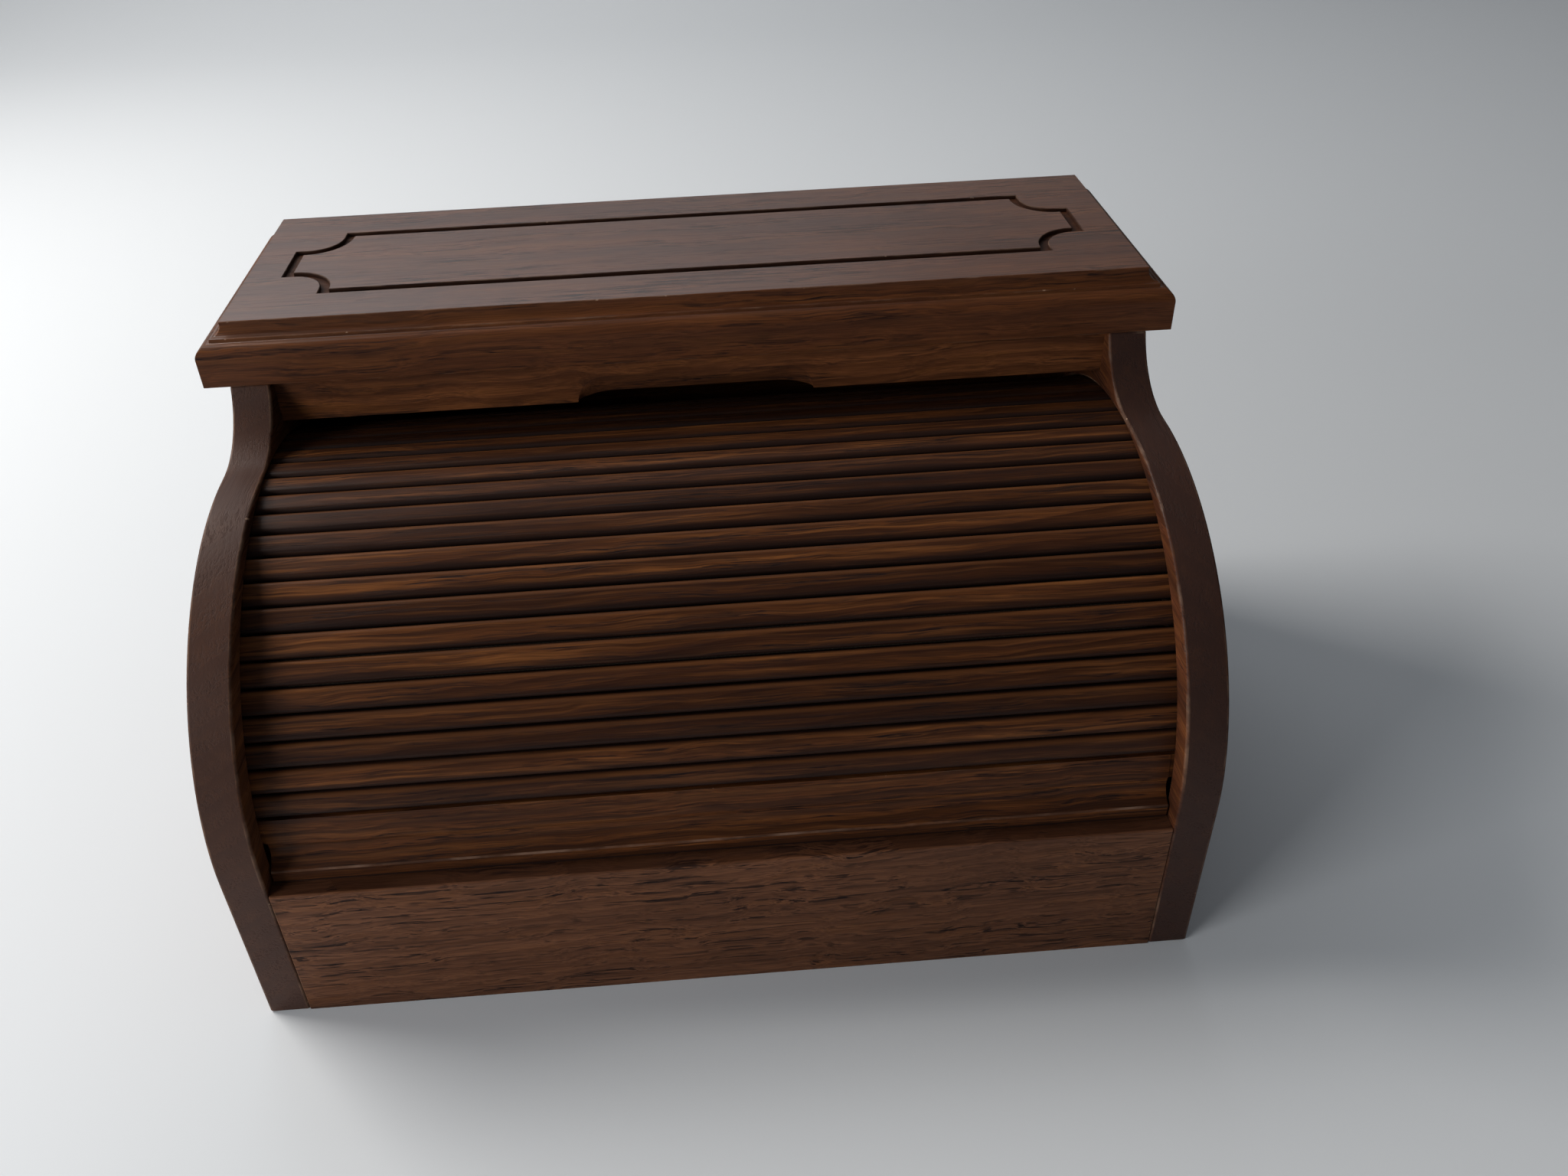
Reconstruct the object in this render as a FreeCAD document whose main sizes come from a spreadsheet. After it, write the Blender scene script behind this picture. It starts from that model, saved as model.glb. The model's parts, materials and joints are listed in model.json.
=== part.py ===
"""Tambour lid box: a low case with S-curved sides, a moulded top board and a
slatted lid that runs in round tracks.  Millimetres, +Z up, front towards -Y,
origin at the middle of the underside."""

import FreeCAD, Part
import math
import os
import Sketcher

doc = FreeCAD.newDocument("tambour_lid_box")

SIZES = {
    # case
    "case_width": (300.0, "outside of one side to outside of the other"),
    "side_thickness": (12.8, "stock the two sides are sawn from"),
    "belly_base": (62.5, "height of the upright part of the side's front edge"),
    "belly_reveal": (1.5, "crown of the sides' round front above the slats"),
    "neck_radius": (27.5, "hollow that carries the front edge up to the top board"),
    # top board
    "top_thickness": (19.5, "top board"),
    "top_overhang": (8.0, "top board past the sides"),
    "top_nose": (0.6, "top board past the necks of the sides"),
    "face_height": (9.8, "plain upright face under the moulding"),
    "round_radius": (4.2, "round member of the moulding"),
    "step_height": (1.0, "small step between round and hollow"),
    "hollow_radius": (3.3, "hollow member of the moulding"),
    "panel_margin_end": (21.5, "end of the top board to the routed line"),
    "panel_margin_front": (27.0, "front of the top board to the routed line"),
    "panel_margin_back": (19.5, "back of the top board to the routed line"),
    "panel_corner": (15.0, "indent of the routed line at its corners"),
    "panel_shoulder": (2.5, "square shoulder beside each scallop"),
    "rout_width": (3.0, "routed line"),
    "rout_depth": (1.4, "routed line"),
    # lid and its track
    "lid_setback": (8.5, "front of the case to the outer face of the slats"),
    "lid_headroom": (4.4, "outer face of the slats to the header"),
    "back_room": (13.0, "outer face of the slats to the back panel"),
    "track_height": (59.0, "underside to the middle of the track"),
    "track_radius": (89.0, "outer face of the slats"),
    "track_depth": (4.2, "track let into each side"),
    "track_sweep": (213.0, "degrees that the track runs, from level with its middle"),
    "track_clearance": (0.35, "slats to either wall of the track"),
    "end_clearance": (0.6, "slat ends to the bottom of the track"),
    "slat_thickness": (5.0, "slat"),
    "slat_angle": (5.2, "degrees from one slat to the next"),
    "slat_gap": (0.3, "between the backs of two slats"),
    "slat_round": (1.5, "rounded long edges of a slat"),
    "cloth_thickness": (0.5, "cloth glued behind the slats"),
    "cloth_margin": (6.0, "inner face of a side to the edge of the cloth"),
    "bar_angle": (11.9, "degrees that the lead bar takes up"),
    "bar_back": (11.4, "lip of the lead bar to its back"),
    "bar_play": (0.5, "lead bar to the inner face of a side"),
    "bar_seat": (0.3, "lead bar above the front rail"),
    "tongue_clearance": (0.2, "end tongues of the lead bar inside the slats' faces"),
    "lip_reach": (3.4, "lip past the outer face of the slats"),
    "lip_play": (0.7, "ends of the lip to the sides"),
    "lip_root": (1.5, "core of the lead bar behind its band, where the lip grows out"),
    "lip_round": (0.8, "rounded upper edge of the lip"),
    "cove_height": (8.0, "hollow that joins the band to the lip"),
    "cove_radius": (6.5, "hollow that joins the band to the lip"),
    "lip_height": (4.8, "upright face of the lip"),
    # fixed boards
    "rail_drop": (3.5, "middle of the track to the top of the front rail"),
    "rail_thickness": (11.0, "front rail"),
    "rail_round": (0.6, "broken upper edge of the front rail"),
    "header_setback": (3.9, "front of the top board to the header"),
    "header_drop": (15.6, "header below the top board"),
    "header_thickness": (10.0, "header"),
    "notch_width": (79.0, "finger notch in the header"),
    "notch_height": (3.0, "opening of the finger notch"),
    "notch_run": (12.0, "sloping ends of the finger notch's opening"),
    "scoop_height": (9.2, "scooped front of the finger notch"),
    "scoop_run": (9.2, "rounded ends of the scoop"),
    "scoop_depth": (1.6, "front of the header to the scoop's inner edge"),
    "bottom_thickness": (6.0, "bottom board"),
    "bottom_rise": (3.0, "underside of the case to the bottom board"),
    "dado_depth": (3.0, "grooves in the sides for the bottom and inner back"),
    "back_thickness": (8.0, "back panel"),
    "inner_back_thickness": (5.0, "inner back, in front of the stored slats"),
    "inner_back_offset": (50.5, "middle of the track to the inner back"),
    "inner_back_clearance": (1.2, "top of the inner back to the cloth"),
}
SLAT_COUNT = 22

# Sizes that follow from the ones above; each cell holds a formula.
DERIVED = {
    "slat_back": "track_radius - slat_thickness",
    "inner_half": "case_width / 2 - side_thickness",
    "track_setback": "lid_setback + track_radius",
    "case_depth": "track_setback + track_radius + back_room + back_thickness",
    "case_height": "track_height + track_radius + lid_headroom + header_drop",
    "belly_radius": "track_height + track_radius + belly_reveal - belly_base",
    "neck_centre": "belly_base + belly_radius + neck_radius",
    "neck_run": "sqrt(neck_radius ^ 2 - (neck_centre - case_height) ^ 2)",
    "case_front": "-case_depth / 2",
    "axis_place": "track_setback - case_depth / 2",
    "top_front": "belly_radius + neck_run - top_nose",
    "top_depth": "case_depth - top_front",
    "top_half": "case_width / 2 + top_overhang",
    "rail_height": "track_height - rail_drop",
    "floor_height": "bottom_rise + bottom_thickness",
    "inner_back_front": "track_setback + inner_back_offset",
    "inner_back_rim": "slat_back - cloth_thickness - inner_back_clearance",
    "inner_back_top": (
        "track_height + sqrt(inner_back_rim ^ 2 - (inner_back_offset + inner_back_thickness) ^ 2)"),
    "bar_foot": "rail_height + bar_seat - track_height",
    "lip_edge": "track_radius + lip_reach",
    "lip_brow": "bar_foot + lip_height",
    "band_foot": "lip_brow + cove_height",
    "band_reach": "sqrt(track_radius ^ 2 - band_foot ^ 2)",
    "cove_half": "sqrt((lip_edge - band_reach) ^ 2 + cove_height ^ 2) / 2",
    "cove_off": "sqrt(cove_radius ^ 2 - cove_half ^ 2)",
    "cove_reach": "(lip_edge + band_reach) / 2 + cove_off * cove_height / (2 * cove_half)",
    "cove_rise": (
        "(lip_brow + band_foot) / 2 + cove_off * (lip_edge - band_reach) / (2 * cove_half)"),
    "tongue_in": "slat_back + tongue_clearance",
    "tongue_out": "track_radius - tongue_clearance",
    "notch_bow": "(notch_height ^ 2 + notch_run ^ 2) / (2 * notch_height)",
    "scoop_bow": "(scoop_height ^ 2 + scoop_run ^ 2) / (2 * scoop_height)",
    "slat_length": "2 * (inner_half + track_depth - end_clearance)",
    "slat_half": "slat_back * tan(slat_angle * 1 deg / 2) - slat_gap / 2",
}

sheet = doc.addObject("Spreadsheet::Sheet", "Sizes")
for row, (alias, (number, note)) in enumerate(SIZES.items(), start=1):
    sheet.set("A%d" % row, alias)
    sheet.set("B%d" % row, str(number))
    sheet.set("C%d" % row, note)
    sheet.setAlias("B%d" % row, alias)
for row, (alias, formula) in enumerate(DERIVED.items(), start=len(SIZES) + 2):
    sheet.set("A%d" % row, alias)
    sheet.set("B%d" % row, "=" + formula)
    sheet.setAlias("B%d" % row, alias)
doc.recompute()


def size(alias):
    """The sheet's value of one size."""
    return float(sheet.get(alias))


def tie(thing, expressions):
    """Ties properties of an object to expressions of the sheet's sizes."""
    for name, text in expressions.items():
        thing.setExpression(name, text)
    return thing


def value(text):
    """The number that an expression comes to."""
    return float(sheet.evalExpression(text))


def sketch_on(body, role, name, lift="0"):
    """A sketch on one of a body's origin planes, lifted off it by an expression."""
    sketch = body.newObject("Sketcher::SketchObject", name)
    plane = [item for item in body.Origin.OriginFeatures if item.Role == role][0]
    sketch.AttachmentSupport = [(plane, "")]
    sketch.MapMode = "FlatFace"
    sketch.setExpression("AttachmentOffset.Base.z", lift)
    return sketch


def measure(sketch, kind, places, name, text):
    """A named dimension that follows an expression."""
    index = sketch.addConstraint(Sketcher.Constraint(kind, *places, value(text)))
    sketch.renameConstraint(index, name)
    sketch.setExpression("Constraints." + name, text)


def outline(sketch, corners, bends=None, tag="p"):
    """A closed outline through corners given as pairs of expressions.

    A bend turns the run from one corner to the next into an arc: its key is the
    corner's index and its value the centre and the radius, as expressions.
    """
    bends = bends or {}
    points = [(value(x), value(y)) for x, y in corners]
    first = sketch.GeometryCount
    starts = []
    for index, (x, y) in enumerate(points):
        end_x, end_y = points[(index + 1) % len(points)]
        if index in bends:
            centre_x, centre_y, radius = [value(text) for text in bends[index]]
            begin = math.atan2(y - centre_y, x - centre_x)
            end = math.atan2(end_y - centre_y, end_x - centre_x)
            circle = Part.Circle(
                FreeCAD.Vector(centre_x, centre_y, 0), FreeCAD.Vector(0, 0, 1), radius)
            if (end - begin) % (2 * math.pi) < math.pi:
                sketch.addGeometry(Part.ArcOfCircle(circle, begin, end), False)
                starts.append(1)
            else:
                sketch.addGeometry(Part.ArcOfCircle(circle, end, begin), False)
                starts.append(2)
        else:
            sketch.addGeometry(
                Part.LineSegment(FreeCAD.Vector(x, y, 0), FreeCAD.Vector(end_x, end_y, 0)), False)
            starts.append(1)
    for index, start in enumerate(starts):
        following = (index + 1) % len(starts)
        sketch.addConstraint(Sketcher.Constraint(
            "Coincident", first + index, 3 - start, first + following, starts[following]))
        place = (-1, 1, first + index, start)
        measure(sketch, "DistanceX", place, "%s%dx" % (tag, index), corners[index][0])
        measure(sketch, "DistanceY", place, "%s%dy" % (tag, index), corners[index][1])
        if index in bends:
            measure(sketch, "Radius", (first + index,), "%s%dr" % (tag, index), bends[index][2])
    return sketch


def rectangle(sketch, left, right, low, high, tag="p"):
    """A rectangle between two pairs of expressions."""
    return outline(sketch, [(left, low), (right, low), (right, high), (left, high)], tag=tag)


def pad(body, sketch, length, both_ways=False):
    """A pad of a sketch, its length an expression."""
    feature = body.newObject("PartDesign::Pad", sketch.Name + "_pad")
    feature.Profile = sketch
    if both_ways:
        feature.SideType = "Symmetric"
    feature.setExpression("Length", length)
    return feature


def pocket(body, sketch, depth, flipped=False):
    """A pocket of a sketch, its depth an expression."""
    feature = body.newObject("PartDesign::Pocket", sketch.Name + "_pocket")
    feature.Profile = sketch
    feature.Reversed = flipped
    feature.setExpression("Length", depth)
    return feature


def turn(body, kind, sketch, angle, flipped=False):
    """Turns a sketch about its own construction line through an angle."""
    feature = body.newObject("PartDesign::" + kind, sketch.Name + "_turn")
    feature.Profile = sketch
    feature.ReferenceAxis = (sketch, ["Axis0"])
    feature.Reversed = flipped
    feature.setExpression("Angle", angle)
    return feature


def turning_axis(sketch, height):
    """The construction line that a sketch turns about, level with x."""
    y = value(height)
    reach = size("side_thickness")
    index = sketch.addGeometry(
        Part.LineSegment(FreeCAD.Vector(-reach, y, 0), FreeCAD.Vector(reach, y, 0)), True)
    sketch.addConstraint(Sketcher.Constraint("Horizontal", index))
    measure(sketch, "DistanceY", (-1, 1, index, 1), "axis_y", height)


def edges_where(feature, test):
    """Names of a feature's edges whose two ends both pass a test."""
    names = []
    for number, edge in enumerate(feature.Shape.Edges, start=1):
        ends = [vertex.Point for vertex in edge.Vertexes]
        if len(ends) == 2 and all(test(point) for point in ends):
            names.append("Edge%d" % number)
    return names


def soften(body, kind, base, names, amount):
    """A fillet or chamfer of some edges, its size an expression."""
    feature = body.newObject("PartDesign::" + kind, base.Name + "_" + kind.lower())
    feature.Base = (base, names)
    feature.setExpression("Radius" if kind == "Fillet" else "Size", amount)
    return feature


PARTS = []


def new_part(label):
    """A body that becomes one node."""
    body = doc.addObject("PartDesign::Body", label + "_body")
    body.Label = label
    PARTS.append(body)
    return body


# Sides: front edge upright, then a round belly and a hollow neck.
def make_side(label):
    """The left side; its sketches are measured from the front of the case."""
    body = new_part(label)
    shape = sketch_on(body, "YZ_Plane", label + "_outline")
    depth, height = "Sizes.case_depth", "Sizes.case_height"
    crown = "Sizes.belly_base + Sizes.belly_radius"
    neck = "Sizes.belly_radius + Sizes.neck_run"
    outline(shape, [
        ("0", "0"), (depth, "0"), (depth, height), (neck, height),
        ("Sizes.belly_radius", crown), ("0", "Sizes.belly_base")],
        {3: ("Sizes.belly_radius", "Sizes.neck_centre", "Sizes.neck_radius"),
         4: ("Sizes.belly_radius", "Sizes.belly_base", "Sizes.belly_radius")})
    pad(body, shape, "Sizes.side_thickness")

    track = sketch_on(body, "XY_Plane", label + "_track", "Sizes.track_height")
    turning_axis(track, "Sizes.track_setback")
    rectangle(
        track, "Sizes.side_thickness - Sizes.track_depth", "Sizes.side_thickness + 1",
        "Sizes.track_setback - Sizes.track_radius - Sizes.track_clearance",
        "Sizes.track_setback - Sizes.slat_back + Sizes.track_clearance")
    turn(body, "Groove", track, "Sizes.track_sweep", True)

    floor = sketch_on(body, "YZ_Plane", label + "_bottom_dado", "Sizes.side_thickness")
    rectangle(
        floor, "Sizes.rail_thickness", "Sizes.case_depth - Sizes.back_thickness",
        "Sizes.bottom_rise", "Sizes.floor_height")
    pocket(body, floor, "Sizes.dado_depth")

    inner = sketch_on(body, "YZ_Plane", label + "_inner_dado", "Sizes.side_thickness")
    rectangle(
        inner, "Sizes.inner_back_front", "Sizes.inner_back_front + Sizes.inner_back_thickness",
        "Sizes.floor_height", "Sizes.inner_back_top")
    pocket(body, inner, "Sizes.dado_depth")
    tie(body, {
        "Placement.Base.x": "-Sizes.case_width / 2",
        "Placement.Base.y": "Sizes.case_front"})
    return body


side_left = make_side("side_left")
side_right = doc.addObject("Part::Mirroring", "side_right_mirror")
side_right.Label = "side_right"
side_right.Source = side_left
side_right.Normal = FreeCAD.Vector(1, 0, 0)
PARTS.append(side_right)


# Boards between the sides.
def make_rail():
    """The front rail, flush with the front edges of the sides."""
    body = new_part("front_rail")
    face = sketch_on(body, "XY_Plane", "rail_plan")
    rectangle(face, "-Sizes.inner_half", "Sizes.inner_half", "0", "Sizes.rail_thickness")
    block = pad(body, face, "Sizes.rail_height")
    doc.recompute()
    top = size("rail_height")
    names = edges_where(block, lambda point: point.z > top - 0.01 and point.y < 0.01)
    soften(body, "Fillet", block, names, "Sizes.rail_round")
    return tie(body, {"Placement.Base.y": "Sizes.case_front"})


def make_bottom():
    """The bottom board, held in the dados of the sides."""
    body = new_part("bottom_board")
    plan = sketch_on(body, "XY_Plane", "bottom_plan")
    half = "(Sizes.inner_half + Sizes.dado_depth)"
    rectangle(
        plan, "-" + half, half, "Sizes.rail_thickness",
        "Sizes.case_depth - Sizes.back_thickness")
    pad(body, plan, "Sizes.bottom_thickness")
    return tie(body, {"Placement.Base.y": "Sizes.case_front", "Placement.Base.z": "Sizes.bottom_rise"})


def make_back():
    """The back panel, between the sides and under the top board."""
    body = new_part("back_panel")
    plan = sketch_on(body, "XY_Plane", "back_plan")
    rectangle(
        plan, "-Sizes.inner_half", "Sizes.inner_half", "Sizes.case_depth - Sizes.back_thickness", "Sizes.case_depth")
    pad(body, plan, "Sizes.case_height")
    return tie(body, {"Placement.Base.y": "Sizes.case_front"})


def make_inner_back():
    """The inner back that keeps the contents away from the stored slats."""
    body = new_part("inner_back")
    plan = sketch_on(body, "XY_Plane", "inner_back_plan")
    half = "(Sizes.inner_half + Sizes.dado_depth)"
    far = "Sizes.inner_back_front + Sizes.inner_back_thickness"
    rectangle(plan, "-" + half, half, "Sizes.inner_back_front", far)
    pad(body, plan, "Sizes.inner_back_top - Sizes.floor_height")
    return tie(body, {
        "Placement.Base.y": "Sizes.case_front",
        "Placement.Base.z": "Sizes.floor_height"})


def notch_outline(sketch, kind):
    """A low arch on the header's lower edge; its sizes are those named after kind."""
    half = "Sizes.notch_width / 2"
    shoulder = "(Sizes.notch_width / 2 - Sizes.%s_run)" % kind
    low = "-Sizes.header_drop"
    lift = "Sizes.%s_height - Sizes.header_drop" % kind
    centre = "(%s - Sizes.%s_bow)" % (lift, kind)
    bow = "Sizes.%s_bow" % kind
    corners = [("-" + half, low), (half, low), (shoulder, lift), ("-" + shoulder, lift)]
    return outline(sketch, corners, {1: (shoulder, centre, bow), 3: ("-" + shoulder, centre, bow)})


def make_header():
    """The header under the top board, with its scooped finger notch."""
    body = new_part("header")
    face = sketch_on(body, "XZ_Plane", "header_face")
    rectangle(face, "-Sizes.inner_half", "Sizes.inner_half", "-Sizes.header_drop", "0")
    board = pad(body, face, "Sizes.header_thickness")
    board.Reversed = True
    opening = notch_outline(sketch_on(body, "XZ_Plane", "header_opening"), "notch")
    pocket(body, opening, "Sizes.header_thickness")
    front = notch_outline(sketch_on(body, "XZ_Plane", "header_scoop_front"), "scoop")
    inner = notch_outline(
        sketch_on(body, "XZ_Plane", "header_scoop_inner", "-Sizes.scoop_depth"), "notch")
    scoop = body.newObject("PartDesign::SubtractiveLoft", "header_scoop")
    scoop.Profile = front
    scoop.Sections = [inner]
    scoop.Ruled = True
    return tie(body, {
        "Placement.Base.y": "Sizes.case_front + Sizes.top_front + Sizes.header_setback",
        "Placement.Base.z": "Sizes.case_height"})


make_rail()
make_bottom()
make_back()
make_inner_back()
make_header()


# Top board: moulded along the front and both ends, routed panel line.
def free_sketch(name, placement, y_shift=None):
    """A sketch of its own, for the extrusions that the top board is made from."""
    sketch = doc.addObject("Sketcher::SketchObject", name)
    sketch.Placement = placement
    if y_shift:
        sketch.setExpression("Placement.Base.y", y_shift)
    return sketch


def extrusion(name, sketch, length, symmetric=False, flipped=False):
    """A straight solid extrusion of a sketch."""
    solid = doc.addObject("Part::Extrusion", name)
    solid.Base = sketch
    solid.DirMode = "Normal"
    solid.Solid = True
    solid.Symmetric = symmetric
    solid.Reversed = flipped
    solid.setExpression("LengthFwd", length)
    return solid


def moulding(edge, inward):
    """Corners and bends of the moulding, from its foot to the board's top face.

    edge is the expression of the board's outer edge and inward the sign that
    leads from it into the board.
    """
    round_x = "%s %s Sizes.round_radius" % (edge, inward)
    hollow_x = "%s %s Sizes.hollow_radius" % (round_x, inward)
    face = "Sizes.face_height"
    shelf = "%s + Sizes.round_radius" % face
    ledge = "%s + Sizes.step_height" % shelf
    lip = "%s + Sizes.hollow_radius" % ledge
    corners = [
        (edge, "0"), (edge, face), (round_x, shelf), (round_x, ledge), (hollow_x, lip),
        (hollow_x, "Sizes.top_thickness")]
    bends = {
        1: (round_x, face, "Sizes.round_radius"),
        3: (round_x, lip, "Sizes.hollow_radius")}
    return corners, bends


def routed_line(sketch, outset, tag):
    """The panel line, scalloped at its corners, set out by an expression."""
    x = "(Sizes.top_half - Sizes.panel_margin_end + %s)" % outset
    front = "(Sizes.panel_margin_front - %s)" % outset
    back = "(Sizes.top_depth - Sizes.panel_margin_back + %s)" % outset
    inset = "Sizes.panel_corner"
    shoulder = "(Sizes.panel_shoulder + %s)" % outset
    radius = "(%s - %s)" % (inset, shoulder)
    corners = []
    bends = {}
    quarters = [("-", front, "+"), ("", front, "+"), ("", back, "-"), ("-", back, "-")]
    for sign_x, end_y, sign_y in quarters:
        toward = "+" if sign_x else "-"
        along = "%s%s %s %s" % (sign_x, x, toward, inset)
        beside = "%s%s %s %s" % (sign_x, x, toward, shoulder)
        near = "%s %s %s" % (end_y, sign_y, shoulder)
        far = "%s %s %s" % (end_y, sign_y, inset)
        run = [(along, end_y), (along, near), (beside, far), (sign_x + x, far)]
        if (sign_x == "-") != (sign_y == "-"):
            run.reverse()
        bends[len(corners) + 1] = (beside, near, radius)
        corners += run
    return outline(sketch, corners, bends, tag)


def make_top():
    """The top board: two moulded extrusions crossed, less the routed line."""
    end_sketch = free_sketch(
        "top_end_profile",
        FreeCAD.Placement(FreeCAD.Vector(), FreeCAD.Rotation(FreeCAD.Vector(1, 0, 0), 90)))
    left, left_bends = moulding("-Sizes.top_half", "+")
    right, right_bends = moulding("Sizes.top_half", "-")
    count = len(left)
    bends = {2 * count - 2 - key: bend for key, bend in left_bends.items()}
    bends.update(right_bends)
    outline(end_sketch, right + left[::-1], bends)
    ends = extrusion("top_ends", end_sketch, "Sizes.top_depth", flipped=True)

    side_sketch = free_sketch(
        "top_front_profile",
        FreeCAD.Placement(FreeCAD.Vector(), FreeCAD.Rotation(FreeCAD.Vector(1, 1, 1), 120)))
    front, front_bends = moulding("0", "+")
    outline(side_sketch, front + [
        ("Sizes.top_depth", "Sizes.top_thickness"), ("Sizes.top_depth", "0")], front_bends)
    fronts = extrusion("top_front", side_sketch, "2 * Sizes.top_half", symmetric=True)

    board = doc.addObject("Part::MultiCommon", "top_moulded")
    board.Shapes = [ends, fronts]

    line = free_sketch("top_line", FreeCAD.Placement())
    line.setExpression("Placement.Base.z", "Sizes.top_thickness - Sizes.rout_depth")
    routed_line(line, "Sizes.rout_width / 2", "outer")
    inner = free_sketch("top_line_inner", FreeCAD.Placement())
    inner.setExpression("Placement.Base.z", "Sizes.top_thickness - Sizes.rout_depth")
    routed_line(inner, "(-Sizes.rout_width / 2)", "inner")
    outer_solid = extrusion("top_line_outer_block", line, "Sizes.rout_depth + 1")
    inner_solid = extrusion("top_line_inner_block", inner, "Sizes.rout_depth + 1")
    ring = doc.addObject("Part::Cut", "top_line_ring")
    ring.Base = outer_solid
    ring.Tool = inner_solid
    top = doc.addObject("Part::Cut", "top_board_cut")
    top.Base = board
    top.Tool = ring
    top.Label = "top_board"
    PARTS.append(top)
    return tie(top, {
        "Placement.Base.y": "Sizes.case_front + Sizes.top_front",
        "Placement.Base.z": "Sizes.case_height"})


make_top()


# Lid: lead bar, slats and the cloth that joins them.
def on_axis(body, angle="0"):
    """Hangs a piece of the lid on the track's axis, turned up by an angle."""
    body.Placement = FreeCAD.Placement(
        FreeCAD.Vector(), FreeCAD.Rotation(FreeCAD.Vector(-1, 0, 0), 1))
    return tie(body, {
        "Placement.Base.y": "Sizes.axis_place",
        "Placement.Base.z": "Sizes.track_height",
        "Placement.Rotation.Angle": angle})


def make_slat(number):
    """One slat, flat in front and behind, with rounded long edges."""
    body = new_part("slat_%02d" % number)
    end = sketch_on(body, "YZ_Plane", "slat_%02d_end" % number)
    rectangle(
        end, "-Sizes.track_radius", "-Sizes.slat_back", "-Sizes.slat_half", "Sizes.slat_half")
    strip = pad(body, end, "Sizes.slat_length", both_ways=True)
    doc.recompute()
    front = -size("track_radius") + 0.01
    names = edges_where(strip, lambda point: point.y < front)
    names = [name for name in names if strip.Shape.getElement(name).BoundBox.XLength > size("inner_half")]
    soften(body, "Fillet", strip, names, "Sizes.slat_round")
    return on_axis(body, "(Sizes.bar_angle + %.1f * Sizes.slat_angle) * 1 deg" % (number - 0.5))


def make_lead_bar():
    """The lead bar: a band like a wide slat, a coved lip to pull and tongues in the tracks."""
    body = new_part("lead_bar")
    top_cos = "cos(Sizes.bar_angle * 1 deg)"
    top_sin = "sin(Sizes.bar_angle * 1 deg)"

    core = sketch_on(body, "YZ_Plane", "lead_bar_core")
    back = "(Sizes.lip_edge - Sizes.bar_back)"
    root = "(Sizes.band_reach - Sizes.lip_root)"
    outline(core, [
        ("-" + back, "Sizes.bar_foot"),
        ("-Sizes.slat_back * " + top_cos, "Sizes.slat_back * %s - Sizes.slat_gap" % top_sin),
        ("-Sizes.track_radius * " + top_cos,
         "Sizes.track_radius * %s - Sizes.slat_gap" % top_sin),
        ("-Sizes.band_reach", "Sizes.band_foot"),
        ("-" + root, "Sizes.band_foot"),
        ("-" + root, "Sizes.bar_foot")])
    pad(body, core, "2 * (Sizes.inner_half - Sizes.bar_play)", both_ways=True)

    lip = sketch_on(body, "YZ_Plane", "lead_bar_lip")
    outline(
        lip, [
            ("-" + root, "Sizes.band_foot"), ("-Sizes.band_reach", "Sizes.band_foot"),
            ("-Sizes.lip_edge", "Sizes.lip_brow"), ("-Sizes.lip_edge", "Sizes.bar_foot"),
            ("-" + root, "Sizes.bar_foot")],
        {1: ("-Sizes.cove_reach", "Sizes.cove_rise", "Sizes.cove_radius")})
    grown = pad(body, lip, "2 * (Sizes.inner_half - Sizes.lip_play)", both_ways=True)
    doc.recompute()
    brow = edges_where(
        grown, lambda point: abs(point.y + size("lip_edge")) < 0.01
        and abs(point.z - size("lip_brow")) < 0.01)
    soften(body, "Fillet", grown, brow, "Sizes.lip_round")

    tongue = sketch_on(body, "YZ_Plane", "lead_bar_tongue")
    outline(tongue, [
        ("-sqrt(Sizes.tongue_in ^ 2 - Sizes.band_foot ^ 2)", "Sizes.band_foot"),
        ("-Sizes.tongue_in * " + top_cos, "Sizes.tongue_in * %s - Sizes.slat_gap" % top_sin),
        ("-Sizes.tongue_out * " + top_cos, "Sizes.tongue_out * %s - Sizes.slat_gap" % top_sin),
        ("-sqrt(Sizes.tongue_out ^ 2 - Sizes.band_foot ^ 2)", "Sizes.band_foot")])
    pad(body, tongue, "Sizes.slat_length", both_ways=True)
    return on_axis(body)


def make_cloth():
    """The cloth behind the slats, from the lead bar to the last slat."""
    body = new_part("cloth_backing")
    strip = sketch_on(body, "XY_Plane", "cloth_strip")
    turning_axis(strip, "0")
    half = "(Sizes.inner_half - Sizes.cloth_margin)"
    rectangle(
        strip, "-" + half, half, "-Sizes.slat_back", "-Sizes.slat_back + Sizes.cloth_thickness")
    turn(body, "Revolution", strip, "%d * Sizes.slat_angle" % SLAT_COUNT, True)
    return on_axis(body, "Sizes.bar_angle * 1 deg")


make_lead_bar()
for number in range(1, SLAT_COUNT + 1):
    make_slat(number)
make_cloth()

doc.recompute()


# Check and write.
for item in doc.Objects:
    if "Invalid" in item.State or "Error" in item.State:
        raise RuntimeError("%s failed: %s" % (item.Label, item.State))
os.makedirs("parts", exist_ok=True)
for part in PARTS:
    shape = part.Shape
    if shape.isNull() or not shape.isValid() or shape.Volume < 1:
        raise RuntimeError("%s has no valid shape" % part.Label)
    shape.exportStep("parts/%s.step" % part.Label)
    box = shape.BoundBox
    print("%-14s solids %d  x %.2f..%.2f  y %.2f..%.2f  z %.2f..%.2f  volume %.0f" % (
        part.Label, len(shape.Solids), box.XMin, box.XMax, box.YMin, box.YMax,
        box.ZMin, box.ZMax, shape.Volume))
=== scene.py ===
"""Looks of a roll-top box in dark stained open-pored wood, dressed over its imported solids.

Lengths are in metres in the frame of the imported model: X runs across the front, Y from the front to
the back and Z upwards. Patterns of the finishes are written in millimetres.
"""

import json
import logging
import math
from dataclasses import dataclass, field, replace
from enum import Enum
from typing import Any, Callable, Optional, Union

import bmesh
import bpy
from mathutils import Matrix, Vector

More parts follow.
